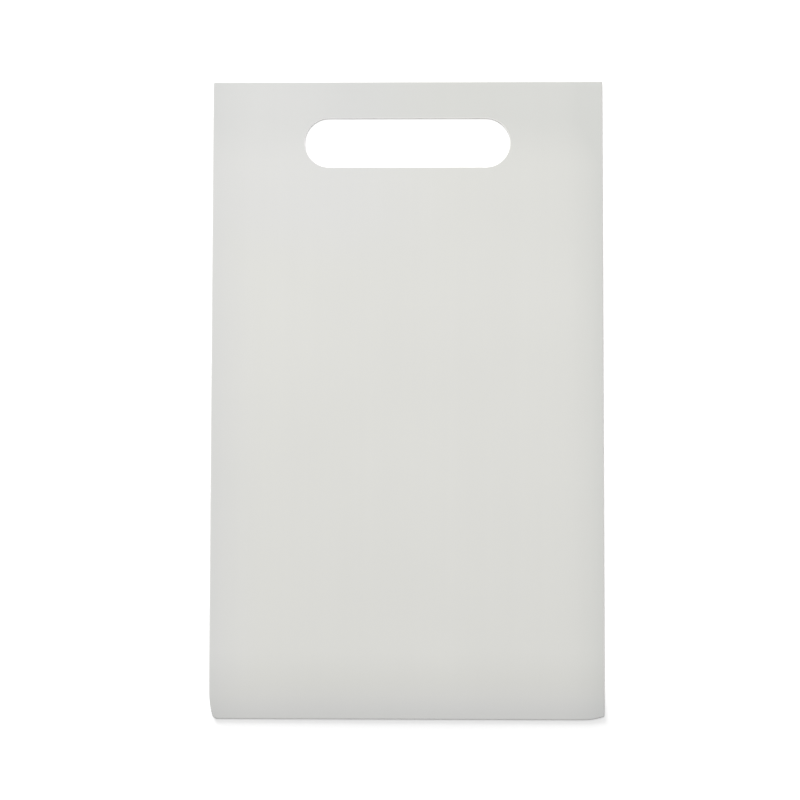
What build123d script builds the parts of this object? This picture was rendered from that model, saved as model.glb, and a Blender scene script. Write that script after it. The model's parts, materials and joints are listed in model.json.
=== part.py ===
"""A flexible cutting mat: one thin plastic sheet with a hand slot near its rear end.

The sheet lies on a worktop with its width along X, its length along Y, the slot end at +Y, and its
face up. Its front end curls down, so it touches the worktop along its front and rear edges. The sheet
bends lengthwise into a chute, so it is cut into strips that turn about the bend lines between them.
"""

import math
import os

from build123d import *

# The sheet
mat_width = 203.0
mat_length = 330.5
sheet_thickness = 2.0
edge_radius = 0.7
rear_corner_radius = 1.0

# The front end, which curls down over its last stretch
curl_run = 34.0
curl_angle = 10.0

# The front corners: a long easing, down the left side and along the front on the right, and a small tip
left_ease_run = 15.0
left_ease_radius = 54.0
left_tip_radius = 3.0
right_ease_run = 11.0
right_ease_radius = 33.0
right_tip_radius = 1.0

# The hand slot
slot_length = 106.6
slot_height = 25.4
slot_edge_radius = 0.3
grip_bar_depth = 19.6

# The strips: alike over the slot's straight stretch, then one on each side that holds a round end of the
# slot and the web past it, and alike again from there out to the side edge
slot_strips = 5
slot_end_web = 2.5
side_strips = 3
strip_gap = 0.1
bend_range = 12.0

# How far a cutting shape runs past what it cuts, the most of a wall's thickness that its rounding may
# take, and the slope that tells walls and upright edges from the rest
overrun = 5.0
rounding_limit_share = 0.4
steep_share = 0.7

# Worked out from the sizes above
half_width = mat_width / 2
level_length = mat_length - curl_run
curl_radius = curl_run / math.sin(math.radians(curl_angle))
rounding = min(edge_radius, rounding_limit_share * sheet_thickness)
slot_rounding = min(slot_edge_radius, rounding_limit_share * sheet_thickness)
slot_centre_y = -grip_bar_depth - slot_height / 2
slot_straight = slot_length - slot_height
slot_strip_width = slot_straight / slot_strips
web_edge = slot_length / 2 + slot_end_web
side_strip_width = (half_width - web_edge) / side_strips
slot_strip_edges = [(n + 0.5) * slot_strip_width for n in range((slot_strips + 1) // 2)]
side_strip_edges = [web_edge + n * side_strip_width for n in range(side_strips + 1)]
strip_edges = slot_strip_edges + side_strip_edges
outer_ring = len(strip_edges) - 1


def side_profile():
    """The sheet's section in the YZ plane: level from the rear, then a long arc turning down."""
    to_front = Vector(-1, 0)
    sweep = math.degrees(math.asin((curl_run + overrun) / curl_radius))
    with BuildSketch(Plane.YZ) as profile:
        with BuildLine():
            lower = Line((overrun, 0), (-level_length, 0))
            lower_curl = JernArc(lower @ 1, to_front, curl_radius, sweep)
            upper = Line((overrun, sheet_thickness), (-level_length, sheet_thickness))
            upper_curl = JernArc(upper @ 1, to_front, curl_radius + sheet_thickness, sweep)
            Line(lower @ 0, upper @ 0)
            Line(lower_curl @ 1, upper_curl @ 1)
        make_face()
    return profile.sketch


def plan_outline():
    """The cut outline in the XY plane, with the rear edge at y = 0."""
    left_sweep = math.degrees(math.asin(left_ease_run / left_ease_radius))
    right_sweep = math.degrees(math.asin(right_ease_run / right_ease_radius))
    with BuildSketch() as outline:
        with BuildLine():
            left = Line((-half_width, 0), (-half_width, left_ease_run - mat_length))
            left_ease = JernArc(left @ 1, left % 1, left_ease_radius, left_sweep)
            front = Line(left_ease @ 1, (half_width - right_ease_run, -mat_length))
            right_ease = JernArc(front @ 1, front % 1, right_ease_radius, right_sweep)
            right = Line(right_ease @ 1, (half_width, 0))
            Line(right @ 1, left @ 0)
        make_face()
        corners = outline.vertices()
        rear_corners = [corners.sort_by_distance(end)[0] for end in (left @ 0, right @ 1)]
        left_tip, right_tip = [corners.sort_by_distance(ease @ 1)[0] for ease in (left_ease, right_ease)]
        fillet(left_tip, left_tip_radius)
        fillet(right_tip, right_tip_radius)
        fillet(rear_corners, rear_corner_radius)
    return outline.sketch


def hand_slot():
    """A slot with round ends, right through the sheet."""
    depth = sheet_thickness + overrun
    return Pos(0, slot_centre_y) * extrude(SlotOverall(slot_length, slot_height), depth, both=True)


def whole_sheet():
    """The sheet in its own frame: section crossed with outline, less the slot, every edge rounded."""
    reach = curl_radius + sheet_thickness
    blank = extrude(side_profile(), half_width + overrun, both=True)
    sheet = blank & extrude(plan_outline(), reach, both=True)
    walls = sheet.faces().filter_by(lambda face: abs(face.normal_at().Z) < steep_share)
    rims = walls.edges().filter_by(lambda edge: abs(edge.tangent_at().Z) < steep_share)
    sheet = fillet(rims, rounding)
    slotted = sheet - hand_slot()
    return fillet(new_edges(sheet, hand_slot(), combined=slotted), slot_rounding)


def rest_tilt():
    """The angle that brings the rounded lower edges of both ends down to the worktop."""
    front_run = curl_run - rounding
    swing = curl_radius + rounding
    front_drop = swing - math.sqrt(swing**2 - front_run**2)
    return math.degrees(math.atan2(front_drop, mat_length - 2 * rounding))


def laying_down(shape):
    """The move that tilts the shape to rest and puts the origin under its centre."""
    tilt = Rot(X=-rest_tilt())
    box = (tilt * shape).bounding_box()
    return Pos(-box.center().X, -box.center().Y, -box.min.Z) * tilt


def strip_block(ring, side):
    """A block that takes one strip out of the sheet: ring 0 is the centre one, and side is -1 or 1."""
    inner = strip_edges[ring - 1] if ring else -strip_edges[0]
    outer = strip_edges[ring] + (overrun if ring == outer_ring else 0)
    block = Box(outer - inner - strip_gap, 2 * mat_length, 2 * curl_radius)
    return Pos(side * (inner + outer) / 2) * block


def save_strip(sheet, ring, side, name):
    """Writes the strip's panel, and its length of grip bar where the slot parts the two."""
    lumps = (sheet & strip_block(ring, side)).solids().sort_by(Axis.Y)
    for lump, kind in zip(lumps, ["panel", "grip_bar"]):
        node = name.replace("strip", kind)
        lump.label = node
        export_step(lump, f"parts/{node}.step")


def placed(placing, x, y, z):
    """A point of the sheet's own frame in the part's frame, as plain numbers."""
    return tuple(round(c, 4) for c in (placing * Pos(x, y, z)).position)


os.makedirs("parts", exist_ok=True)
sheet_in_own_frame = whole_sheet()
placing = laying_down(sheet_in_own_frame)
sheet = placing * sheet_in_own_frame
save_strip(sheet, 0, 1, "centre_strip")
for ring in range(1, outer_ring + 1):
    save_strip(sheet, ring, -1, f"left_strip_{ring}")
    save_strip(sheet, ring, 1, f"right_strip_{ring}")

# Where the bend lines, the underside and the slot are, for the part's record
print("tilt", round(rest_tilt(), 6), "box", sheet.bounding_box())
print("bends run from", placed(placing, 0, 0, 0), "to", placed(placing, 0, -level_length, 0))
for ring, bend_x in enumerate(strip_edges[:outer_ring], start=1):
    print("bend", ring, placed(placing, bend_x, -mat_length / 2, sheet_thickness), bend_range)
print("middle of the underside", placed(placing, 0, -mat_length / 2, 0))
print("middle of the slot", placed(placing, 0, slot_centre_y, sheet_thickness / 2))
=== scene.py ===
"""A flexible cutting mat lying on a white worktop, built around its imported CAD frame.

Lengths are in metres. The sheet's own frame has its rear edge at y = 0, its front edge at -mat_length and
its level underside at z = 0. The row frame is that frame tilted and moved to where the mat rests.
"""

import json
import math

import bmesh
import bpy
import numpy as np
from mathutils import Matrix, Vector


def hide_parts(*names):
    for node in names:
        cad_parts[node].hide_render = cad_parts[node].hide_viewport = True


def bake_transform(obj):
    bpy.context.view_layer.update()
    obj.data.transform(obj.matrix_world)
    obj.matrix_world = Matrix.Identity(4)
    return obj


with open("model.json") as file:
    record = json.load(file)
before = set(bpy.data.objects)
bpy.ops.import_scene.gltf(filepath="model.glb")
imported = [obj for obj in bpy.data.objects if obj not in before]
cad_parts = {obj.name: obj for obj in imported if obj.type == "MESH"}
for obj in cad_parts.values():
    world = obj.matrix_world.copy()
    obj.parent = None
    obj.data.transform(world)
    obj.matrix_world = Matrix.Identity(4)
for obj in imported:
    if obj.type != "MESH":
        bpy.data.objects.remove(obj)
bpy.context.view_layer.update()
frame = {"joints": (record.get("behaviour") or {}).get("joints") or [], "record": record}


# The sheet
# One sheet of off-white plastic 2 mm thick, moulded whole with its hand slot and slightly rounded edges.
# Its front end has taken a curl, so that it stands on its front and rear edges. It bends lengthwise.
mat_width = 0.203
mat_length = 0.3305
sheet_thickness = 0.002
edge_radius = 0.0007
slot_edge_radius = 0.0003
rear_corner_radius = 0.001
left_ease_run, left_ease_radius, left_tip_radius = 0.015, 0.054, 0.003
right_ease_run, right_ease_radius, right_tip_radius = 0.011, 0.033, 0.001
slot_length, slot_height = 0.1066, 0.0254
grip_bar_depth = 0.0196
curl_run, curl_angle = 0.034, math.radians(10)
curl_radius = curl_run / math.sin(curl_angle)


def walk(start, heading, moves):
    """Points and outward normals of a closed outline walked counter-clockwise.

    Each move is (length, 0, count) for a line or (radius, turn, count) for an arc to the left. A line's
    points go evenly along it, an arc's evenly round its centre, and the normal is the heading turned right.
    """
    points, normals = [], []
    place = np.array(start, float)
    for size, turn, count in moves:
        share = np.arange(count) / count
        along = np.array([math.cos(heading), math.sin(heading)])
        right = np.array([along[1], -along[0]])
        if turn:
            centre = place - size * right
            angle = math.atan2(right[1], right[0]) + turn * share
            normal = np.stack([np.cos(angle), np.sin(angle)], 1)
            points.append(centre + size * normal)
            heading += turn
            place = centre + size * np.array([math.sin(heading), -math.cos(heading)])
        else:
            normal = np.repeat(right[None], count, 0)
            points.append(place + size * share[:, None] * along)
            place = place + size * along
        normals.append(normal)
    return np.concatenate(points), np.concatenate(normals)


def outline_and_slot():
    """The cut outline and the slot as two matched loops: equal counts for front, right, rear and left.

    Each front corner is a long easing arc and a small tip arc, tangent to each other and to the straight
    edges. Half of each corner's tip belongs to the side before it and half to the side after.
    """
    front_count, side_count, rear_count, ease_count, half_tip = 120, 110, 84, 18, 6
    quarter = math.pi / 2
    left_swing = left_ease_radius - left_tip_radius
    right_swing = right_ease_radius - right_tip_radius
    left_turn = math.asin((left_ease_run - left_tip_radius) / left_swing)
    right_turn = math.asin((right_ease_run - right_tip_radius) / right_swing)
    half_width = mat_width / 2
    left_tip_x = left_ease_radius - half_width - left_swing * math.cos(left_turn)
    left_tip_y = left_tip_radius - mat_length
    right_tip_y = right_ease_radius - mat_length - right_swing * math.cos(right_turn)
    half_left_tip = (quarter - left_turn) / 2
    half_right_tip = (quarter - right_turn) / 2
    start_x = left_tip_x - left_tip_radius * math.sin(half_left_tip)
    start_y = left_tip_y - left_tip_radius * math.cos(half_left_tip)
    outline = walk((start_x, start_y), -half_left_tip, [
        (left_tip_radius, half_left_tip, half_tip),
        (half_width - right_ease_run - left_tip_x, 0, front_count),
        (right_ease_radius, right_turn, ease_count),
        (right_tip_radius, half_right_tip, half_tip),
        (right_tip_radius, half_right_tip, half_tip),
        (-rear_corner_radius - right_tip_y, 0, side_count),
        (rear_corner_radius, quarter / 2, half_tip),
        (rear_corner_radius, quarter / 2, half_tip),
        (mat_width - 2 * rear_corner_radius, 0, rear_count),
        (rear_corner_radius, quarter / 2, half_tip),
        (rear_corner_radius, quarter / 2, half_tip),
        (mat_length - rear_corner_radius - left_ease_run, 0, side_count),
        (left_ease_radius, left_turn, ease_count),
        (left_tip_radius, half_left_tip, half_tip),
    ])
    straight = slot_length - slot_height
    slot = walk((-straight / 2, -grip_bar_depth - slot_height), 0.0, [
        (straight, 0, front_count + ease_count + 2 * half_tip),
        (slot_height / 2, math.pi, side_count + 2 * half_tip),
        (straight, 0, rear_count + 2 * half_tip),
        (slot_height / 2, math.pi, side_count + ease_count + 2 * half_tip),
    ])
    return outline, slot


def face_heights(y):
    """Heights of the underside and the top at y, and the sine of the slope, level and then on the curl.

    On the curl both faces are arcs about one centre below the start of the curl, curl_radius away from the
    underside: height = sqrt(radius squared - distance past the start squared) - curl_radius.
    """
    past = np.clip(-y - (mat_length - curl_run), 0, None)
    under = np.sqrt(curl_radius**2 - past**2) - curl_radius
    top = np.sqrt((curl_radius + sheet_thickness) ** 2 - past**2) - curl_radius
    return under, top, past / (curl_radius + sheet_thickness)


def sheet_ring():
    """The whole sheet as one closed grid: once round the outline, and once round the sheet's section.

    The section starts at the slot's edge, crosses the top to the outer edge by straight rays from slot to
    outline, rounds down that edge, comes back under the sheet, and rounds up the slot's edge. Points crowd
    towards the outline along a ray: share = 1 - (1 - even share) to the power of crowding. On a rounded
    edge the angle goes from the top's normal (0) through the wall's (90) to the underside's (180). The two
    rows at 90 degrees, one hung from the top and one set on the underside, hold the upright wall.
    """
    (outer, outer_normal), (inner, inner_normal) = outline_and_slot()
    ray_count, quarter_count, crowding = 72, 5, 1.6
    ray = 1 - (1 - np.linspace(0, 1, ray_count)) ** crowding
    quarter = np.linspace(0, math.pi / 2, quarter_count + 1)
    upper_steps = [(angle, True) for angle in quarter[1:]]
    edge_steps = upper_steps + [(math.pi - angle, False) for angle, _ in upper_steps[::-1]]

    inner_line = inner + slot_edge_radius * inner_normal
    outer_line = outer - edge_radius * outer_normal
    still = np.zeros_like(outer)
    rows = [((1 - r) * inner_line + r * outer_line, still, 0.0, 0.0, True) for r in ray]
    for angle, upper in edge_steps:
        bulge = edge_radius * math.sin(angle) * outer_normal
        rows.append((outer_line + bulge, outer_normal, angle, edge_radius, upper))
    rows += [((1 - r) * inner_line + r * outer_line, still, math.pi, 0.0, False) for r in ray[::-1]]
    for angle, upper in edge_steps[::-1]:
        bulge = -slot_edge_radius * math.sin(angle) * inner_normal
        rows.append((inner_line + bulge, -inner_normal, angle, slot_edge_radius, upper))

    points, normals = [], []
    for plan, outward, angle, radius, upper in rows:
        low, high, sine = face_heights(plan[:, 1])
        if upper:
            height = high - radius * (1 - math.cos(angle))
        else:
            height = low + radius * (1 + math.cos(angle))
        points.append(np.column_stack([plan, height]))
        face = np.column_stack([0 * sine, -sine, np.sqrt(1 - sine**2)])
        normal = face * math.cos(angle) + np.column_stack([outward, 0 * sine]) * math.sin(angle)
        normals.append(normal / np.linalg.norm(normal, axis=1, keepdims=True))
    return np.array(points), np.array(normals)


# The bends lie in the sheet's top, so the first one tells how the sheet is tilted and where it rests.
joints = {joint["name"]: joint for joint in frame["joints"]}
first_bend = joints["right_bend_1"]
tilt = math.atan2(first_bend["axis"][2], -first_bend["axis"][1])
lay = np.array([
    [1, 0, 0],
    [0, math.cos(tilt), math.sin(tilt)],
    [0, -math.sin(tilt), math.cos(tilt)],
])
bend_in_sheet = np.array([first_bend["pos_m"][0], -mat_length / 2, sheet_thickness])
lay_offset = np.array(first_bend["pos_m"]) - lay @ bend_in_sheet

# The grid becomes one mesh in the row frame, with its normals as an attribute.
ring_points, ring_normals = sheet_ring()
around, along = ring_points.shape[:2]
row, column = np.meshgrid(np.arange(around), np.arange(along), indexing="ij")
next_row, next_column = (row + 1) % around, (column + 1) % along
quads = np.stack([
    row * along + column,
    next_row * along + column,
    next_row * along + next_column,
    row * along + next_column,
], -1).reshape(-1, 4)
ring = bpy.data.meshes.new("sheet_ring")
ring.from_pydata((ring_points.reshape(-1, 3) @ lay.T + lay_offset).tolist(), [], quads.tolist())
ring.shade_smooth()
ring_normals = ring_normals.reshape(-1, 3) @ lay.T
shape_normal = ring.attributes.new("shape_normal", "FLOAT_VECTOR", "POINT")
shape_normal.data.foreach_set("vector", ring_normals.ravel())


def rim_distance(points):
    """How far inside the nearest edge each point lies in plan: the outline's edges, or the slot's.

    The slot's edge is half its height away from the line between the centres of its round ends.
    """
    own = (points - lay_offset) @ lay
    x, y = np.abs(own[:, 0]), own[:, 1]
    to_outline = np.minimum(mat_width / 2 - x, np.minimum(-y, y + mat_length))
    past_straight = np.clip(x - (slot_length - slot_height) / 2, 0, None)
    to_slot = np.hypot(past_straight, y + grip_bar_depth + slot_height / 2) - slot_height / 2
    return np.clip(np.minimum(to_outline, to_slot), 0, None)


def cut_piece(name, low_x, high_x):
    """The ring between two planes across X, closed where it is cut. None leaves that end whole.

    The real sheet is unbroken: the cuts lie face to face along strips that stay flat. A smooth face takes
    the normals worked out for the ring, which the cut carries along, and a cut's own face its plane's. A
    point within a micrometre of the plane counts as on it, so that no sliver is left.
    """
    on_the_plane = 1e-6
    bm = bmesh.new()
    bm.from_mesh(ring)
    for limit, side in ((low_x, -1), (high_x, 1)):
        if limit is not None:
            everything = bm.verts[:] + bm.edges[:] + bm.faces[:]
            plane = {"plane_co": (limit, 0, 0), "plane_no": (side, 0, 0), "dist": on_the_plane}
            cut = bmesh.ops.bisect_plane(bm, geom=everything, clear_outer=True, **plane)["geom_cut"]
            cut_edges = [part for part in cut if isinstance(part, bmesh.types.BMEdge)]
            bmesh.ops.edgeloop_fill(bm, edges=cut_edges)
    bmesh.ops.recalc_face_normals(bm, faces=bm.faces)
    mesh = bpy.data.meshes.new(name)
    bm.to_mesh(mesh)
    bm.free()

    def read(items, what, width, kind=np.float32):
        """One property of every item, as an array."""
        values = np.zeros(len(items) * width, kind)
        items.foreach_get(what, values)
        return values.reshape(-1, width) if width > 1 else values

    corner_face = np.repeat(np.arange(len(mesh.polygons)), read(mesh.polygons, "loop_total", 1, np.int32))
    smooth = read(mesh.polygons, "use_smooth", 1, bool)[corner_face]
    flat_normal = read(mesh.polygons, "normal", 3)[corner_face]
    carried = mesh.attributes["shape_normal"]
    smooth_normal = read(carried.data, "vector", 3)[read(mesh.loops, "vertex_index", 1, np.int32)]
    smooth_normal /= np.linalg.norm(smooth_normal, axis=1, keepdims=True)
    mesh.normals_split_custom_set(np.where(smooth[:, None], smooth_normal, flat_normal).tolist())
    mesh.attributes.remove(mesh.attributes["shape_normal"])

    points = read(mesh.vertices, "co", 3)
    mesh.attributes.new("flat_place", "FLOAT_VECTOR", "POINT").data.foreach_set("vector", points.ravel())
    distance = rim_distance(points).astype(np.float32)
    mesh.attributes.new("rim_distance", "FLOAT", "POINT").data.foreach_set("value", distance)
    piece = bpy.data.objects.new(name, mesh)
    bpy.context.scene.collection.objects.link(piece)
    return piece


def moulded_grain():
    """A node group: fine pressed grain, long drawn streaks and soft clouds, from a position in metres."""
    group = bpy.data.node_groups.new("Moulded grain", "ShaderNodeTree")
    group.interface.new_socket("Position", in_out="INPUT", socket_type="NodeSocketVector")
    group.interface.new_socket("Grains per metre", in_out="INPUT", socket_type="NodeSocketFloat")
    for output in ("Grain height", "Streaks", "Clouds"):
        group.interface.new_socket(output, in_out="OUTPUT", socket_type="NodeSocketFloat")
    nodes, links = group.nodes, group.links
    enter = nodes.new("NodeGroupInput")
    leave = nodes.new("NodeGroupOutput")

    pits = nodes.new("ShaderNodeTexVoronoi")
    pits.feature = "SMOOTH_F1"
    pits.inputs["Smoothness"].default_value = 0.6
    dust = nodes.new("ShaderNodeTexNoise")
    dust.inputs["Detail"].default_value = 3.0
    for texture in (pits, dust):
        links.new(enter.outputs["Position"], texture.inputs["Vector"])
        links.new(enter.outputs["Grains per metre"], texture.inputs["Scale"])
    grain = nodes.new("ShaderNodeMix")
    grain.inputs["Factor"].default_value = 0.45
    links.new(pits.outputs["Distance"], grain.inputs["A"])
    links.new(dust.outputs["Fac"], grain.inputs["B"])
    links.new(grain.outputs["Result"], leave.inputs["Grain height"])

    drawn = nodes.new("ShaderNodeMapping")
    drawn.inputs["Scale"].default_value = (140.0, 3.0, 140.0)
    streak = nodes.new("ShaderNodeTexNoise")
    streak.inputs["Scale"].default_value = 1.0
    streak.inputs["Detail"].default_value = 4.0
    links.new(enter.outputs["Position"], drawn.inputs["Vector"])
    links.new(drawn.outputs["Vector"], streak.inputs["Vector"])
    links.new(streak.outputs["Fac"], leave.inputs["Streaks"])

    cloud = nodes.new("ShaderNodeTexNoise")
    cloud.inputs["Scale"].default_value = 14.0
    cloud.inputs["Detail"].default_value = 2.0
    links.new(enter.outputs["Position"], cloud.inputs["Vector"])
    links.new(cloud.outputs["Fac"], leave.inputs["Clouds"])
    return group


def ranged(tree, source, from_range, to_range, easing="LINEAR"):
    """Takes a socket from one range to another, held at both ends."""
    node = tree.nodes.new("ShaderNodeMapRange")
    node.interpolation_type = easing
    node.inputs["From Min"].default_value, node.inputs["From Max"].default_value = from_range
    node.inputs["To Min"].default_value, node.inputs["To Max"].default_value = to_range
    tree.links.new(source, node.inputs["Value"])
    return node.outputs["Result"]


def combined(tree, operation, *sources):
    """Two or more sockets brought together by one math operation, in turn."""
    result = sources[0]
    for source in sources[1:]:
        node = tree.nodes.new("ShaderNodeMath")
        node.operation = operation
        tree.links.new(result, node.inputs[0])
        tree.links.new(source, node.inputs[1])
        result = node.outputs["Value"]
    return result


def mixed(tree, factor, plain, full):
    """The colour that goes from plain, a colour or a socket, at factor 0 to the colour full at 1."""
    node = tree.nodes.new("ShaderNodeMix")
    node.data_type = "RGBA"
    if isinstance(plain, tuple):
        node.inputs["A"].default_value = plain
    else:
        tree.links.new(plain, node.inputs["A"])
    node.inputs["B"].default_value = full
    tree.links.new(factor, node.inputs["Factor"])
    return node.outputs["Result"]


# The plastic is off-white and a little warm. Its patterns follow each point's place in the flat sheet, so
# they stay on it as it bends.
off_white = (0.763, 0.762, 0.728, 1.0)
# The grey below paints shade into the plastic.
painted_shade_grey = (0.675, 0.68, 0.654, 1.0)
# The pale white below paints light onto the rims.
painted_rim_light_white = (0.93, 0.925, 0.895, 1.0)
no_tint = (1.0, 1.0, 1.0, 1.0)
cool_tint = (1.0, 1.0, 1.021, 1.0)
grains_per_metre = 2600.0
grain_height = 0.00004
side_edge = mat_width / 2
side_band = 0.0735
plastic = bpy.data.materials.new("mat_plastic")
plastic.use_nodes = True
tree = plastic.node_tree
shader = tree.nodes["Principled BSDF"]
shader.inputs["IOR"].default_value = 1.5
shader.inputs["Specular IOR Level"].default_value = 0.4
place = tree.nodes.new("ShaderNodeAttribute")
place.attribute_name = "flat_place"
across = tree.nodes.new("ShaderNodeSeparateXYZ")
tree.links.new(place.outputs["Vector"], across.inputs["Vector"])
grain = tree.nodes.new("ShaderNodeGroup")
grain.node_tree = moulded_grain()
grain.inputs["Grains per metre"].default_value = grains_per_metre
tree.links.new(place.outputs["Vector"], grain.inputs["Position"])
rim = tree.nodes.new("ShaderNodeAttribute")
rim.attribute_name = "rim_distance"

# Painted shade: the colour is greyer from the side bands out to both sides, more so on the right, and by
# the slot, on the grip bar and at the front edge, where the sheet's shading is darker.
near_right = ranged(tree, across.outputs["X"], (side_band, side_edge), (0.0, 0.94))
near_left = ranged(tree, across.outputs["X"], (-side_edge, -side_band), (0.69, 0.0))
by_the_slot = ranged(tree, across.outputs["Y"], (0.05, 0.1), (0.0, 0.15))
rightwards = ranged(tree, across.outputs["X"], (-0.1, 0.04), (0.3, 1.0))
on_bar = ranged(tree, across.outputs["Y"], (0.118, 0.148), (0.0, 0.6), "SMOOTHSTEP")
on_grip = ranged(tree, across.outputs["X"], (-0.06, -0.02), (0.7, 1.0), "SMOOTHSTEP")
front_painted_shade = ranged(tree, across.outputs["Y"], (-0.162, -0.153), (0.3, 0.0))
right_painted_shade = combined(tree, "MULTIPLY", near_right, near_right)
left_painted_shade = combined(tree, "MULTIPLY", near_left, near_left)
bar_painted_shade = combined(tree, "MULTIPLY", on_bar, on_grip)
slot_painted_shade = combined(tree, "MULTIPLY", by_the_slot, rightwards)
all_painted_shade = combined(tree, "ADD", right_painted_shade, left_painted_shade, bar_painted_shade, slot_painted_shade, front_painted_shade)
colour_with_painted_shade = mixed(tree, all_painted_shade, off_white, painted_shade_grey)

# Painted light: the rounded rims are paler, as if light passed through the thin plastic there, except along
# the front.
on_the_rim = ranged(tree, rim.outputs["Fac"], (0.0001, 0.0007), (1.0, 0.0), "SMOOTHSTEP")
off_the_front = ranged(tree, across.outputs["Y"], (-0.164, -0.150), (0.0, 1.0))
painted_rim_light = combined(tree, "MULTIPLY", on_the_rim, off_the_front)
colour_with_painted_rim_light = mixed(tree, painted_rim_light, colour_with_painted_shade, painted_rim_light_white)

# It is a touch cooler at the left side, at the front, and behind on the left.
cool_left = ranged(tree, across.outputs["X"], (-side_edge, -0.075), (0.9, 0.0))
cool_front = ranged(tree, across.outputs["Y"], (-0.159, -0.146), (1.0, 0.0))
behind = ranged(tree, across.outputs["Y"], (0.065, 0.095), (0.0, 1.0))
on_the_left = ranged(tree, across.outputs["X"], (-0.03, 0.02), (1.0, 0.0))
cool_behind = combined(tree, "MULTIPLY", behind, on_the_left)
coolest = combined(tree, "MAXIMUM", cool_left, cool_front, cool_behind)
tinted = tree.nodes.new("ShaderNodeVectorMath")
tinted.operation = "MULTIPLY"
tree.links.new(colour_with_painted_rim_light, tinted.inputs[0])
tree.links.new(mixed(tree, coolest, no_tint, cool_tint), tinted.inputs[1])

# Soft clouds and long faint streaks run through the whole sheet.
clouds = ranged(tree, grain.outputs["Clouds"], (0.3, 0.7), (0.992, 1.008))
streaks = ranged(tree, grain.outputs["Streaks"], (0.3, 0.7), (0.996, 1.004))
tone = tree.nodes.new("ShaderNodeVectorMath")
tone.operation = "SCALE"
tree.links.new(tinted.outputs["Vector"], tone.inputs["Vector"])
tree.links.new(combined(tree, "MULTIPLY", clouds, streaks), tone.inputs["Scale"])
tree.links.new(tone.outputs["Vector"], shader.inputs["Base Color"])

# The finish is satin: the pressed grain breaks up the gloss, and it fades out on the rims.
roughness = ranged(tree, grain.outputs["Grain height"], (0.2, 0.7), (0.66, 0.76))
tree.links.new(combined(tree, "MULTIPLY", roughness, streaks), shader.inputs["Roughness"])
off_the_rim = ranged(tree, rim.outputs["Fac"], (0.0004, 0.0016), (0.25, 1.0), "SMOOTHSTEP")
bump = tree.nodes.new("ShaderNodeBump")
bump.inputs["Strength"].default_value = 0.25
bump.inputs["Distance"].default_value = grain_height
pressed = combined(tree, "MULTIPLY", grain.outputs["Grain height"], off_the_rim)
tree.links.new(pressed, bump.inputs["Height"])
tree.links.new(bump.outputs["Normal"], shader.inputs["Normal"])

# From the centre line out to each side, each piece runs from the middle of one strip to the middle of the
# next, across the bend line between them, and the CAD parts of both strips are hidden. The outermost runs
# on to the side edge.
nodes_of = frame["record"]["behaviour"]["bodies"]
bend_count = len(joints) // 2
bend_x = [abs(joints[f"right_bend_{step}"]["pos_m"][0]) for step in range(1, bend_count + 1)]
strip_middles = [0.0] + [(inner + outer) / 2 for inner, outer in zip(bend_x, bend_x[1:])]
for side, sign in (("left", -1), ("right", 1)):
    bodies = ["centre"] + [f"{side}_strip_{step}" for step in range(1, bend_count + 1)]
    for step, inner_x in enumerate(strip_middles, start=1):
        outer_x = strip_middles[step] if step < bend_count else None
        ends = (inner_x, outer_x) if sign > 0 else (None if outer_x is None else -outer_x, -inner_x)
        piece = cut_piece(f"sheet_{side}_{step}", *ends)
        piece.data.materials.append(plastic)
        inner_body, outer_body = bodies[step - 1], bodies[step]
        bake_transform(piece)
        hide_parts(*nodes_of[inner_body], *nodes_of[outer_body])
bpy.data.meshes.remove(ring)


# The worktop
# A seamless table top in white paint. What the camera and any gloss see of it is lifted to plain white:
# least along the mat's front edge, whose shadow stays, and most far out, where the lamps fade.
worktop_mesh = bpy.data.meshes.new("worktop")
worktop_half = 4.0
worktop_corners = np.array([(-1, -1, 0), (1, -1, 0), (1, 1, 0), (-1, 1, 0)]) * worktop_half
worktop_mesh.from_pydata(worktop_corners.tolist(), [], [(0, 1, 2, 3)])
worktop = bpy.data.objects.new("worktop", worktop_mesh)
bpy.context.scene.collection.objects.link(worktop)


def seen_rays(tree):
    """1 for a ray from the camera, a gloss or a clear body, and 0 for the rays that only carry light."""
    path = tree.nodes.new("ShaderNodeLightPath")
    kinds = ("Is Camera Ray", "Is Glossy Ray", "Is Transmission Ray")
    return combined(tree, "MAXIMUM", *[path.outputs[kind] for kind in kinds])


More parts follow.
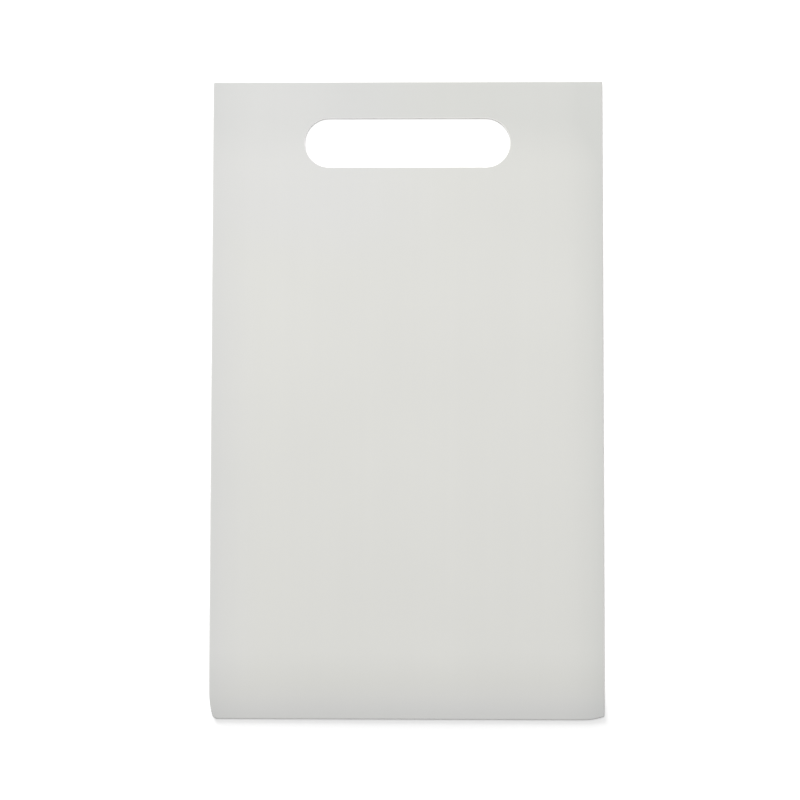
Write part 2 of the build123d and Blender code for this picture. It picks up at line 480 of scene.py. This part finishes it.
paint = bpy.data.materials.new("white_worktop")
paint.use_nodes = True
tree = paint.node_tree
tree.nodes.clear()
matt = tree.nodes.new("ShaderNodeBsdfDiffuse")
matt.inputs["Color"].default_value = (0.88, 0.88, 0.88, 1.0)
lift = tree.nodes.new("ShaderNodeEmission")
spot = tree.nodes.new("ShaderNodeTexCoord")
spot_parts = tree.nodes.new("ShaderNodeSeparateXYZ")
tree.links.new(spot.outputs["Object"], spot_parts.inputs["Vector"])
far_out = tree.nodes.new("ShaderNodeVectorMath")
far_out.operation = "LENGTH"
tree.links.new(spot.outputs["Object"], far_out.inputs["Vector"])
near_lift = ranged(tree, spot_parts.outputs["Y"], (-0.166, -0.146), (0.265, 0.6))
far_lift = ranged(tree, far_out.outputs["Value"], (0.17, 0.9), (0.0, 0.7))
whiteness = combined(tree, "ADD", near_lift, far_lift)
lift_strength = combined(tree, "MULTIPLY", seen_rays(tree), whiteness)
tree.links.new(lift_strength, lift.inputs["Strength"])
both = tree.nodes.new("ShaderNodeAddShader")
out = tree.nodes.new("ShaderNodeOutputMaterial")
tree.links.new(matt.outputs["BSDF"], both.inputs[0])
tree.links.new(lift.outputs["Emission"], both.inputs[1])
tree.links.new(both.outputs["Shader"], out.inputs["Surface"])
worktop_mesh.materials.append(paint)


# The lights
# A broad softbox high behind the mat, a low one behind it to the left, and a pale room all round.
def softbox(name, stand, width, power):
    """A square lamp at stand, facing the mat."""
    lamp = bpy.data.lights.new(name, "AREA")
    lamp.size, lamp.energy = width, power
    box = bpy.data.objects.new(name, lamp)
    box.location = stand
    box.rotation_mode = "QUATERNION"
    box.rotation_quaternion = Vector(stand).to_track_quat("Z", "Y")
    bpy.context.scene.collection.objects.link(box)


softbox("high_softbox", (0.0, 0.5, 2.1), 1.4, 13.9)
softbox("low_softbox", (-0.95, 2.25, 1.25), 1.4, 55.2)

room = bpy.data.worlds.new("white_room")
bpy.context.scene.world = room
room.use_nodes = True
tree = room.node_tree
room_strength = ranged(tree, seen_rays(tree), (0, 1), (0.357, 1.0))
tree.links.new(room_strength, tree.nodes["Background"].inputs["Strength"])
tree.nodes["Background"].inputs["Color"].default_value = (1, 1, 1, 1)


# The camera
# It looks down on the mat through a long lens, from above its front half and a little off square.
camera_data = bpy.data.cameras.new("camera")
camera_data.lens = 95.72
camera_data.sensor_width = 36.0
camera = bpy.data.objects.new("camera", camera_data)
camera.location = (0.01784, -0.0603, 1.1)
camera.rotation_euler = (math.radians(3.091), math.radians(1.114), math.radians(0.108))
bpy.context.scene.collection.objects.link(camera)
bpy.context.scene.camera = camera
bpy.context.scene.view_settings.view_transform = "Standard"
